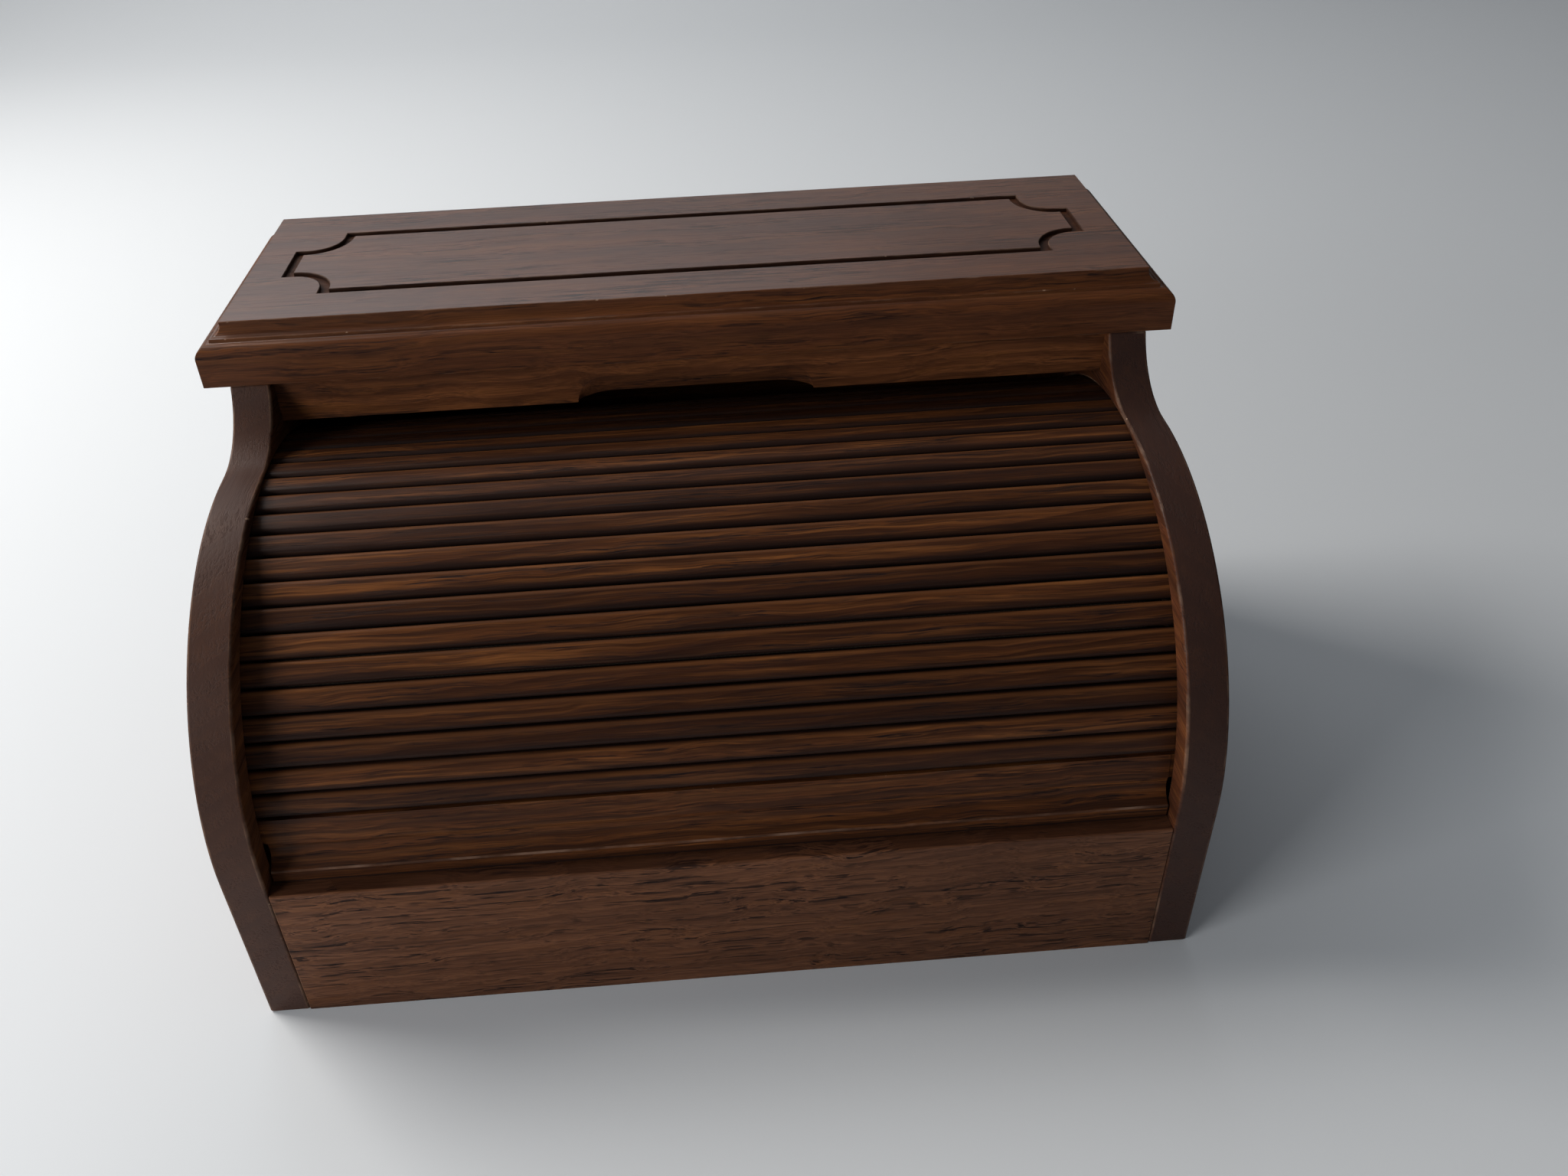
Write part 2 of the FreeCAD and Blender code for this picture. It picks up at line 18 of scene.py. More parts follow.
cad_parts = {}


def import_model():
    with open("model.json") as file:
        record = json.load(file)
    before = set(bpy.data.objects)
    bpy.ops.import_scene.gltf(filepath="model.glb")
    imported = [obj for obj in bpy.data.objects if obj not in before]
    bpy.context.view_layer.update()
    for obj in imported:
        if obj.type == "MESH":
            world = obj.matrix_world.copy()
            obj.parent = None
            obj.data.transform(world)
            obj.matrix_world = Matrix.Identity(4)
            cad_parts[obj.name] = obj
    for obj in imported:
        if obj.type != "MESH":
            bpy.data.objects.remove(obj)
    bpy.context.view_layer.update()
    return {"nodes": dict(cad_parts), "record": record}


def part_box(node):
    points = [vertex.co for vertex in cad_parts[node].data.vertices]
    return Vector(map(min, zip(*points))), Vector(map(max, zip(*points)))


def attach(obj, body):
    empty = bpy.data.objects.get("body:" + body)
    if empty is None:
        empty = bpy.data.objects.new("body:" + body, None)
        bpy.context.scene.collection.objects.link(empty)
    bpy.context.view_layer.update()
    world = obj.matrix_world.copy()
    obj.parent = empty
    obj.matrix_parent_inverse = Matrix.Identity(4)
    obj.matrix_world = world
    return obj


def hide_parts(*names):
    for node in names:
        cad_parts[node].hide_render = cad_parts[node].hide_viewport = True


log = logging.getLogger("roll_top_box")

Colour = tuple[float, float, float]
Stretch = tuple[float, float, float]

MM = 0.001
# Faces whose normal rises more than this count as level.
LEVEL_FROM = 0.97
# A Wave node's pattern repeats every WAVE_TURN divided by its scale.
WAVE_TURN = 2 * math.pi / 20
# Points and slivers closer than these are joined before and after the easing.
SAME_POINT = 0.002 * MM
SLIVER = 0.004 * MM
# Angles between two faces: still flat, sharp enough to ease, and shaded as a corner.
FLAT_ANGLE = math.radians(0.3)
EASED_ANGLE = math.radians(38)
CORNER_ANGLE = math.radians(42)
SLAT_CORNER_ANGLE = math.radians(40)


class Signal:
    """A socket of a node tree that stands in Python expressions on values."""

    def __init__(self, tree: bpy.types.NodeTree, socket: bpy.types.NodeSocket) -> None:
        """Wraps a socket.

        Args:
            tree: The tree that the socket is in.
            socket: The output socket to read.
        """
        self.tree = tree
        self.socket = socket

    def _math(self, operation: str, left: Any, right: Any) -> "Signal":
        """Adds a Math node on two terms, each a Signal or a number.

        Args:
            operation: The node's operation.
            left: First term.
            right: Second term.

        Returns:
            The node's result.
        """
        node = self.tree.nodes.new("ShaderNodeMath")
        node.operation = operation
        for place, term in enumerate((left, right)):
            if isinstance(term, Signal):
                self.tree.links.new(term.socket, node.inputs[place])
            else:
                node.inputs[place].default_value = term
        return Signal(self.tree, node.outputs[0])

    def __add__(self, other: Any) -> "Signal":
        """Sum."""
        return self._math("ADD", self, other)

    def __radd__(self, other: Any) -> "Signal":
        """Sum, reflected."""
        return self._math("ADD", other, self)

    def __sub__(self, other: Any) -> "Signal":
        """Difference."""
        return self._math("SUBTRACT", self, other)

    def __rsub__(self, other: Any) -> "Signal":
        """Difference, reflected."""
        return self._math("SUBTRACT", other, self)

    def __mul__(self, other: Any) -> "Signal":
        """Product."""
        return self._math("MULTIPLY", self, other)

    def __rmul__(self, other: Any) -> "Signal":
        """Product, reflected."""
        return self._math("MULTIPLY", other, self)

    def __truediv__(self, other: Any) -> "Signal":
        """Quotient."""
        return self._math("DIVIDE", self, other)

    def __rtruediv__(self, other: Any) -> "Signal":
        """Quotient, reflected."""
        return self._math("DIVIDE", other, self)

    def __lt__(self, other: Any) -> "Signal":
        """One where this value is the smaller one, otherwise zero."""
        return self._math("LESS_THAN", self, other)


class Graph:
    """A node tree while it is written, for a material or for geometry."""

    def __init__(self, tree: bpy.types.NodeTree) -> None:
        """Starts on an empty tree.

        Args:
            tree: The tree to fill.
        """
        self.tree = tree
        tree.nodes.clear()

    @staticmethod
    def _socket(sockets: Any, key: Union[int, str]) -> bpy.types.NodeSocket:
        """Finds a socket by its place, identifier or name.

        Args:
            sockets: A node's inputs or outputs.
            key: The place, identifier or name.

        Returns:
            The socket.
        """
        if isinstance(key, int):
            return sockets[key]
        for socket in sockets:
            if socket.identifier == key:
                return socket
        return sockets[key]

    def node(
        self,
        kind: str,
        settings: Optional[dict[str, Any]] = None,
        inputs: Optional[dict[Union[int, str], Any]] = None,
        output: Union[int, str] = 0,
    ) -> Signal:
        """Adds any node.

        Args:
            kind: The node's type.
            settings: Its properties, set before its sockets.
            inputs: Values or Signals of its sockets.
            output: The output to hand back.

        Returns:
            The chosen output, or the node's first input where it has no output.
        """
        node = self.tree.nodes.new(kind)
        for name, setting in (settings or {}).items():
            setattr(node, name, setting)
        for key, term in (inputs or {}).items():
            socket = self._socket(node.inputs, key)
            if isinstance(term, Signal):
                self.tree.links.new(term.socket, socket)
            else:
                socket.default_value = term
        sockets = node.outputs if len(node.outputs) else node.inputs
        return Signal(self.tree, self._socket(sockets, output))

    def vector(self, operation: str, first: Any, second: Any) -> Signal:
        """Adds a Vector Math node.

        Args:
            operation: The node's operation.
            first: First vector.
            second: Second vector.

        Returns:
            The resulting vector.
        """
        return self.node(
            "ShaderNodeVectorMath", {"operation": operation}, {0: first, 1: second})

    def scale(self, vector: Any, amount: Signal) -> Signal:
        """Scales a vector or a colour by a value."""
        return self.node(
            "ShaderNodeVectorMath", {"operation": "SCALE"}, {0: vector, "Scale": amount})

    def attribute(self, name: str) -> Signal:
        """Reads a value that is stored on the mesh, zero where the mesh has none."""
        return self.node("ShaderNodeAttribute", {"attribute_name": name}, output="Fac")

    def blend(self, amount: Any, first: Any, second: Any) -> Signal:
        """Mixes two colours.

        Args:
            amount: Share of the second colour.
            first: First colour.
            second: Second colour.

        Returns:
            The mixed colour.
        """
        terms = {
            "Factor_Float": amount,
            "A_Color": first if isinstance(first, Signal) else (*first, 1.0),
            "B_Color": second if isinstance(second, Signal) else (*second, 1.0),
        }
        settings = {"data_type": "RGBA", "blend_type": "MIX", "clamp_factor": True}
        return self.node("ShaderNodeMix", settings, terms, "Result_Color")

    def noise(
        self, place: Signal, stretch: Stretch, detail: float = 2.0, seed: float = 0.0
    ) -> Signal:
        """Noise with its own stretch on each axis.

        Args:
            place: Coordinates in millimetres.
            stretch: Repeats in a millimetre along each axis.
            detail: Octaves.
            seed: Moves the pattern.

        Returns:
            Values around one half.
        """
        spread = self.vector("MULTIPLY", place, stretch)
        moved = self.vector("ADD", spread, (seed, seed * 1.7, seed * 2.3))
        settings = {"noise_dimensions": "3D"}
        terms = {"Vector": moved, "Scale": 1.0, "Detail": detail, "Roughness": 0.55}
        return self.node("ShaderNodeTexNoise", settings, terms, "Fac")

    def ramp(self, value: Signal, low: float, high: float) -> Signal:
        """Goes smoothly from zero at low to one at high.

        Args:
            value: What is read.
            low: Value that gives zero.
            high: Value that gives one.

        Returns:
            The result, from zero to one.
        """
        settings = {"interpolation_type": "SMOOTHSTEP", "clamp": True}
        terms = {"Value": value, "From Min": low, "From Max": high, "To Min": 0.0, "To Max": 1.0}
        return self.node("ShaderNodeMapRange", settings, terms, "Result")


class GrainRun(Enum):
    """Direction of the wood's grain, as the turn that lays it along the pattern's first axis."""

    ACROSS = (0.0, 0.0, 0.0)
    DEEP = (0.0, 0.0, math.pi / 2)


@dataclass(frozen=True)
class Pattern:
    """Noise drawn out along the grain, and the range of it that shows.

    along and across are repeats in a millimetre, detail is octaves and shift moves the pattern. The
    pattern shows from nothing at low to full at high.
    """

    along: float
    across: float
    detail: float
    shift: float
    low: float = 0.0
    high: float = 1.0


FIBRE = Pattern(0.05, 3.1, 3.0, 5.0, 0.3, 0.7)
STREAK = Pattern(0.008, 0.11, 3.0, 2.0, 0.42, 0.66)
FLAME = Pattern(0.016, 0.30, 3.0, 13.0, 0.48, 0.68)
CLOUD = Pattern(0.012, 0.02, 2.0, 9.0, 0.3, 0.7)
LONG_PORE = Pattern(0.036, 1.1, 2.0, 6.0, 0.518, 0.578)
SHORT_PORE = Pattern(0.13, 2.1, 1.0, 8.0, 0.54, 0.61)
PORE_PATCH = Pattern(0.014, 0.07, 2.0, 11.0, 0.36, 0.6)
CHIP = Pattern(0.33, 0.36, 2.0, 7.0, 0.70, 0.74)
RUBBED = Pattern(0.08, 0.12, 3.0, 3.0, 0.4, 0.75)
SMUDGE = Pattern(0.03, 0.04, 3.0, 4.0)
SWAY = Pattern(0.022, 0.03, 2.0, 15.0)
WANDER = Pattern(0.008, 0.025, 2.0, 1.0)


@dataclass(frozen=True)
class WoodFinish:
    """Stained open-pored wood under satin lacquer."""

    name: str
    run: GrainRun = GrainRun.ACROSS
    early: Colour = (0.105, 0.034, 0.0105)
    late: Colour = (0.058, 0.0185, 0.0065)
    shade: Colour = (0.030, 0.0105, 0.0055)
    # Light flame figure; also the colour of the painted highlight on the slats' upper edges.
    glow: Colour = (0.175, 0.062, 0.017)
    pore: Colour = (0.013, 0.0062, 0.0048)
    worn: Colour = (0.42, 0.27, 0.18)
    # Colour of the lighter line on the lip's rounded edge, partly wear and partly painted highlight.
    rubbed_and_highlight: Colour = (0.235, 0.138, 0.092)
    ring_gap: float = 5.0
    heart_below: float = 46.0
    heart_aside: float = 12.0
    heart_tilt: float = 3.0
    pore_share: float = 0.6
    shade_share: float = 0.6
    glow_share: float = 0.45
    chips: float = 0.5
    waves: float = 9.0
    ring_wander: float = 9.0
    late_thinning: float = 0.72
    patchiness: float = 0.55
    figure: float = STREAK.across
    flame: float = FLAME.across
    fibre_contrast: float = 0.44
    cloud_contrast: float = 0.2
    slat_lightest: float = 1.22
    slat_contrast: float = 0.42
    slat_shade: float = 0.55
    # Painted shade in hollows.
    hollow_shade: float = 0.86
    # Painted shade on the slats' lower edges.
    under_shade_share: float = 0.8
    # Painted highlight on the slats' upper edges.
    crest_highlight_share: float = 0.3
    edge_wear: float = 0.22
    # A lighter line on the lip's rounded edge, partly wear and partly painted highlight.
    rub_and_highlight_least: float = 0.1
    rub_and_highlight_more: float = 0.65
    # Painted shade on level faces.
    level_shade: float = 0.0
    end_wood: Colour = (0.052, 0.026, 0.019)
    end_share: float = 0.0
    roughness: float = 0.42
    pore_rough: float = 0.22
    smudge_rough: float = 0.12
    hollow_rough: float = 0.3
    specular: float = 0.09
    coat: float = 0.04
    level_coat: float = 0.04
    coat_roughness: float = 0.26
    pore_depth: float = 0.08 * MM
    relief: float = 0.55
    fibre_height: float = 0.10
    chip_height: float = 1.5
    seed: float = 0.0
    varied: bool = False

    def material(self) -> bpy.types.Material:
        """Writes the material.

        Returns:
            The new material.
        """
        made = bpy.data.materials.new(self.name)
        made.use_nodes = True
        graph = Graph(made.node_tree)
        place = self._place(graph)
        ring = self._rings(graph, place)
        pores = self._pores(graph, place, ring)
        fibre = self._noise(graph, place, FIBRE)
        colour = self._figured(graph, place, ring, fibre)
        colour = graph.blend(pores * self.pore_share, colour, self.pore)
        # Painted shade in hollows: the grooves between slats, the routed line, the notch's scoop and
        # the lip's foot.
        shaded_recess = graph.attribute("shaded_recess")
        level = graph.attribute("level")
        colour = self._painted_light_and_end_grain(graph, colour, shaded_recess, level)
        arris = graph.attribute("arris")
        chipped = self._shown(graph, place, CHIP)
        colour = self._worn_and_highlighted(graph, place, colour, arris, chipped)
        smudge = self._noise(graph, place, SMUDGE)
        roughness = (
            pores * self.pore_rough + smudge * self.smudge_rough + shaded_recess * self.hollow_rough
            + (self.roughness - self.smudge_rough / 2))
        height = fibre * self.fibre_height - pores - arris * chipped * self.chip_height
        bump = graph.node(
            "ShaderNodeBump", None,
            {"Strength": self.relief, "Distance": self.pore_depth, "Height": height}, "Normal")
        shader = graph.node(
            "ShaderNodeBsdfPrincipled", None,
            {
                "Base Color": colour,
                "Roughness": roughness,
                "Normal": bump,
                "Coat Weight": level * (self.level_coat - self.coat) + self.coat,
                "Coat Roughness": self.coat_roughness,
                "Specular IOR Level": self.specular,
            })
        graph.node("ShaderNodeOutputMaterial", None, {"Surface": shader})
        return made

    def _noise(self, graph: Graph, place: Signal, pattern: Pattern) -> Signal:
        """Bare noise of a pattern."""
        stretch = (pattern.along, pattern.across, pattern.across)
        return graph.noise(place, stretch, pattern.detail, self.seed + pattern.shift)

    def _shown(self, graph: Graph, place: Signal, pattern: Pattern) -> Signal:
        """A pattern from zero where it doesn't show to one where it shows in full."""
        return graph.ramp(self._noise(graph, place, pattern), pattern.low, pattern.high)

    @staticmethod
    def _around_one(shown: Signal, contrast: float) -> Signal:
        """A factor that swings round one by the contrast."""
        return shown * contrast + (1 - contrast / 2)

    def _figured(self, graph: Graph, place: Signal, ring: Signal, fibre: Signal) -> Signal:
        """Colour of the bare stained wood: rings, light flames, dark streaks and fine fibres.

        Args:
            graph: The tree.
            place: Coordinates in millimetres.
            ring: The growth rings.
            fibre: Noise of the fine fibres.

        Returns:
            The colour.
        """
        streak = self._shown(graph, place, replace(STREAK, across=self.figure))
        light = self._shown(graph, place, replace(FLAME, across=self.flame))
        colour = graph.blend(graph.ramp(ring, 0.35, 1.0), self.early, self.late)
        colour = graph.blend(light * self.glow_share, colour, self.glow)
        colour = graph.blend(streak * self.shade_share, colour, self.shade)
        lift = self._around_one(graph.ramp(fibre, FIBRE.low, FIBRE.high), self.fibre_contrast)
        if self.varied:
            tone = graph.attribute("slat_tone")
            colour = graph.blend(
                graph.ramp(tone, 0.35, 1.0) * self.slat_shade, colour, self.shade)
            lift = lift * (self.slat_lightest - tone * self.slat_contrast)
        lift = lift * self._around_one(self._shown(graph, place, CLOUD), self.cloud_contrast)
        return graph.scale(colour, lift)

    def _painted_light_and_end_grain(self, graph: Graph, colour: Signal, shaded_recess: Signal, level: Signal) -> Signal:
        """Paints shade into hollows, onto the slats' lower edges and onto level faces, paints a
        highlight onto the slats' upper edges, and tints end grain.

        Args:
            graph: The tree.
            colour: The colour so far.
            shaded_recess: One in a hollow.
            level: One on level faces.

        Returns:
            The colour.
        """
        # Painted shade in hollows.
        colour = graph.blend(shaded_recess * self.hollow_shade, colour, self.pore)
        # Painted shade on each slat's lower edge.
        rise = graph.attribute("rise")
        lower_edge_shade = graph.ramp(0.0 - rise, 0.2, 0.85)
        colour = graph.blend(lower_edge_shade * self.under_shade_share, colour, self.pore)
        # Painted highlight on each slat's upper edge, kept off the grooves.
        crest_highlight = graph.ramp(rise, 0.5, 0.72) * (1.0 - shaded_recess)
        colour = graph.blend(crest_highlight * self.crest_highlight_share, colour, self.glow)
        # Painted shade on level faces; only the rail uses it, darkening its top below the lead bar's
        # lip.
        colour = graph.blend(level * self.level_shade, colour, self.shade)
        if self.end_share:
            colour = graph.blend(graph.attribute("end") * self.end_share, colour, self.end_wood)
        return colour

    def _worn_and_highlighted(
        self, graph: Graph, place: Signal, colour: Signal, arris: Signal, chipped: Signal
    ) -> Signal:
        """Lightens eased edges and their chips as wear, and the lip's rounded edge with a line that
        is partly wear and partly painted highlight.

        Args:
            graph: The tree.
            place: Coordinates in millimetres.
            colour: The colour so far.
            arris: One on eased edges.
            chipped: One where an edge is chipped.

        Returns:
            The colour.
        """
        rubbed_and_highlight = self._shown(graph, place, RUBBED)
        colour = graph.blend(arris * rubbed_and_highlight * self.edge_wear, colour, self.worn)
        colour = graph.blend(arris * chipped * self.chips, colour, self.worn)
        # A lighter line on the lip's rounded edge: partly wear, partly painted highlight.
        rub_and_highlight = graph.attribute("rub_and_highlight") * (rubbed_and_highlight * self.rub_and_highlight_more + self.rub_and_highlight_least)
        return graph.blend(rub_and_highlight, colour, self.rubbed_and_highlight)

    def _place(self, graph: Graph) -> Signal:
        """Coordinates in millimetres with the grain along the first axis.

        Args:
            graph: The tree.

        Returns:
            The coordinates.
        """
        spot = graph.node("ShaderNodeTexCoord", output="Object")
        place = graph.node(
            "ShaderNodeMapping", {"vector_type": "POINT"},
            {
                "Vector": spot,
                "Scale": (1 / MM, 1 / MM, 1 / MM),
                "Rotation": self.run.value,
                "Location": (self.seed * 61.0, self.seed * 17.0, self.seed * 29.0),
            })
        if self.varied:
            jump = graph.scale((811.0, 97.0, 143.0), graph.attribute("slat_tone"))
            place = graph.vector("ADD", place, jump)
        sway = (self._noise(graph, place, SWAY) - 0.5) * self.waves
        shift = graph.node("ShaderNodeCombineXYZ", None, {"Y": sway, "Z": sway * 0.8})
        return graph.vector("ADD", place, shift)

    def _rings(self, graph: Graph, place: Signal) -> Signal:
        """Growth rings round a heart that lies outside the board.

        Args:
            graph: The tree.
            place: Coordinates in millimetres.

        Returns:
            Zero after each ring's start, rising to one at its end.
        """
        seen = graph.node(
            "ShaderNodeMapping", {"vector_type": "POINT"},
            {
                "Vector": place,
                "Location": (0.0, self.heart_aside, self.heart_below),
                "Rotation": (0.0, math.radians(self.heart_tilt), math.radians(self.heart_tilt / 2)),
            })
        wander = self._noise(graph, place, WANDER) * self.ring_wander
        settings = {"wave_type": "RINGS", "rings_direction": "X", "wave_profile": "SAW"}
        terms = {
            "Vector": seen,
            "Scale": WAVE_TURN / self.ring_gap,
            "Distortion": 0.7,
            "Detail": 3.0,
            "Detail Scale": 1.2,
            "Detail Roughness": 0.6,
            "Phase Offset": wander,
        }
        return graph.node("ShaderNodeTexWave", settings, terms, "Fac")

    def _pores(self, graph: Graph, place: Signal, ring: Signal) -> Signal:
        """Open pores drawn out along the grain, most of them early in each ring.

        Args:
            graph: The tree.
            place: Coordinates in millimetres.
            ring: The growth rings.

        Returns:
            One in a pore, otherwise zero.
        """
        long = self._shown(graph, place, LONG_PORE)
        short = self._shown(graph, place, SHORT_PORE)
        early = 1.0 - graph.ramp(ring, 0.3, 0.75) * self.late_thinning
        patch = self._shown(graph, place, PORE_PATCH) * self.patchiness + (1 - self.patchiness)
        return (long * 0.95 + short * 0.6) * early * patch


@dataclass(frozen=True)
class CanvasFinish:
    """Plain-woven canvas, drawn on the sheet's own UV map, which is in metres."""

    name: str
    thread_gap: float = 0.7 * MM
    thread_depth: float = 0.12 * MM
    slub_height: float = 0.3
    relief: float = 0.8
    # Painted shade between the threads.
    gap_shade: float = 0.8
    slub_dark: float = 0.35
    roughness: float = 0.82
    slub_rough: float = 0.12
    sheen: float = 0.25
    specular: float = 0.25
    warp_colour: Colour = (0.085, 0.062, 0.045)
    weft_colour: Colour = (0.068, 0.049, 0.035)
    gap_colour: Colour = (0.022, 0.016, 0.012)

    def material(self) -> bpy.types.Material:
        """Writes the material.

        Returns:
            The new material.
        """
        made = bpy.data.materials.new(self.name)
        made.use_nodes = True
        graph = Graph(made.node_tree)
        flat = graph.node("ShaderNodeUVMap", {"uv_map": "weave"}, output="UV")
        warp = self._threads(graph, flat, "X")
        weft = self._threads(graph, flat, "Y")
        over = graph.node(
            "ShaderNodeTexChecker", None, {"Vector": flat, "Scale": 1 / self.thread_gap}, "Fac")
        height = over * warp + (1.0 - over) * weft
        in_mm = graph.vector("MULTIPLY", flat, (1 / MM, 1 / MM, 1.0))
        slub = graph.noise(in_mm, (0.35, 0.35, 1.0), 3.0, 3.0)
        colour = graph.blend(over, self.warp_colour, self.weft_colour)
        # Painted shade between the threads.
        gap = 1.0 - graph.ramp(height, 0.05, 0.6)
        colour = graph.blend(gap * self.gap_shade, colour, self.gap_colour)
        thick = graph.ramp(slub, 0.45, 0.75)
        colour = graph.blend(thick * self.slub_dark, colour, self.gap_colour)
        relief = height + slub * self.slub_height
        bump = graph.node(
            "ShaderNodeBump", None,
            {"Strength": self.relief, "Distance": self.thread_depth, "Height": relief}, "Normal")
        shader = graph.node(
            "ShaderNodeBsdfPrincipled", None,
            {
                "Base Color": colour,
                "Roughness": graph.ramp(slub, 0.2, 0.8) * self.slub_rough + self.roughness,
                "Normal": bump,
                "Sheen Weight": self.sheen,
                "Specular IOR Level": self.specular,
            })
        graph.node("ShaderNodeOutputMaterial", None, {"Surface": shader})
        return made

    def _threads(self, graph: Graph, flat: Signal, side: str) -> Signal:
        """Round threads along one side of the cloth.

        Args:
            graph: The tree.
            flat: The cloth's UV map.
            side: The axis that the threads are counted along.

        Returns:
            One on a thread's crown, zero between threads.
        """
        settings = {"wave_type": "BANDS", "bands_direction": side, "wave_profile": "SIN"}
        terms = {"Vector": flat, "Scale": WAVE_TURN / self.thread_gap, "Distortion": 0.0}
        return graph.node("ShaderNodeTexWave", settings, terms, "Fac")


def finished_copy(source: bpy.types.Object, name: str) -> bpy.types.Object:
    """Turns an object with live modifiers into a plain mesh object.

    Args:
        source: The object with the modifiers. It is removed.
        name: Name of the new object.

    Returns:
        The new object, at the origin.
    """
    bpy.context.view_layer.update()
    graph = bpy.context.evaluated_depsgraph_get()
    mesh = bpy.data.meshes.new_from_object(
        source.evaluated_get(graph), preserve_all_data_layers=True, depsgraph=graph)
    bpy.data.objects.remove(source)
    mesh.name = name
    made = bpy.data.objects.new(name, mesh)
    bpy.context.scene.collection.objects.link(made)
    return made


def eased_copy(node: bpy.types.Object, name: str, ease: float) -> bpy.types.Object:
    """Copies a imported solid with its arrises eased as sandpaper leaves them.

    Args:
        node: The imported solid, which isn't changed.
        name: Name of the copy.
        ease: Width of the easing.

    Returns:
        The copy, with the attribute arris at one on the eased edges and level at one on the faces
        that lie level; end is one on the faces that look along the sides and zero on those across.
    """
    shape = bmesh.new()
    shape.from_mesh(node.data)
    bmesh.ops.remove_doubles(shape, verts=shape.verts, dist=SAME_POINT)
    bmesh.ops.dissolve_limit(
        shape, angle_limit=FLAT_ANGLE, verts=shape.verts, edges=shape.edges)
    arris = shape.loops.layers.float.new("arris")
    level = shape.loops.layers.float.new("level")
    end = shape.loops.layers.float.new("end")
    sharp = [
        edge for edge in shape.edges
        if len(edge.link_faces) == 2 and edge.is_convex
        and edge.calc_face_angle() > EASED_ANGLE]
    eased = bmesh.ops.bevel(
        shape, geom=sharp, offset=ease, offset_type="OFFSET", segments=2, profile=0.5,
        affect="EDGES", clamp_overlap=True)
    for face in eased["faces"]:
        for corner in face.loops:
            corner[arris] = 1.0
    bmesh.ops.dissolve_degenerate(shape, edges=shape.edges, dist=SLIVER)
    for face in shape.faces:
        for corner in face.loops:
            corner[level] = 1.0 if face.normal.z > LEVEL_FROM else 0.0
            corner[end] = 1.0 - abs(face.normal.x)
    mesh = bpy.data.meshes.new(name + "_shape")
    shape.to_mesh(mesh)
    shape.free()
    mesh.shade_smooth()
    mesh.set_sharp_from_angle(angle=CORNER_ANGLE)
    made = bpy.data.objects.new(name + "_shape", mesh)
    bpy.context.scene.collection.objects.link(made)
    weigh = made.modifiers.new("even_faces", "WEIGHTED_NORMAL")
    weigh.keep_sharp = True
    weigh.weight = 80
    return finished_copy(made, name)


def marked(
    piece: bpy.types.Object, name: str, share: Callable[[bpy.types.MeshPolygon], float]
) -> None:
    """Stores a value for each face of a piece, for its finish to read.

    Args:
        piece: The piece.
        name: The attribute's name. An attribute that is there already is written over.
        share: Gives the value of a face.
    """
    mesh = piece.data
    stored = mesh.attributes.get(name) or mesh.attributes.new(name, "FLOAT", "CORNER")
    values = stored.data
    for face in mesh.polygons:
        amount = share(face)
        for loop in face.loop_indices:
            values[loop].value = amount


def dressed(
    piece: bpy.types.Object, finish: bpy.types.Material, body: str
) -> bpy.types.Object:
    """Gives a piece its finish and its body.

    Args:
        piece: The piece.
        finish: Its material.
        body: The body that it rides on.

    Returns:
        The same piece.
    """
    piece.data.materials.clear()
    piece.data.materials.append(finish)
    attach(piece, body)
    log.info("%s rides on %s", piece.name, body)
    return piece


def width_of(node: str) -> float:
    """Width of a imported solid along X, to the micrometre."""
    low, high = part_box(node)
    return round(high.x - low.x, 6)


@dataclass(frozen=True)
class Board:
    """One board of the box: the solid it dresses, its finish and how its arrises are eased."""

    node: str
    finish: WoodFinish
    ease: float = 0.35 * MM


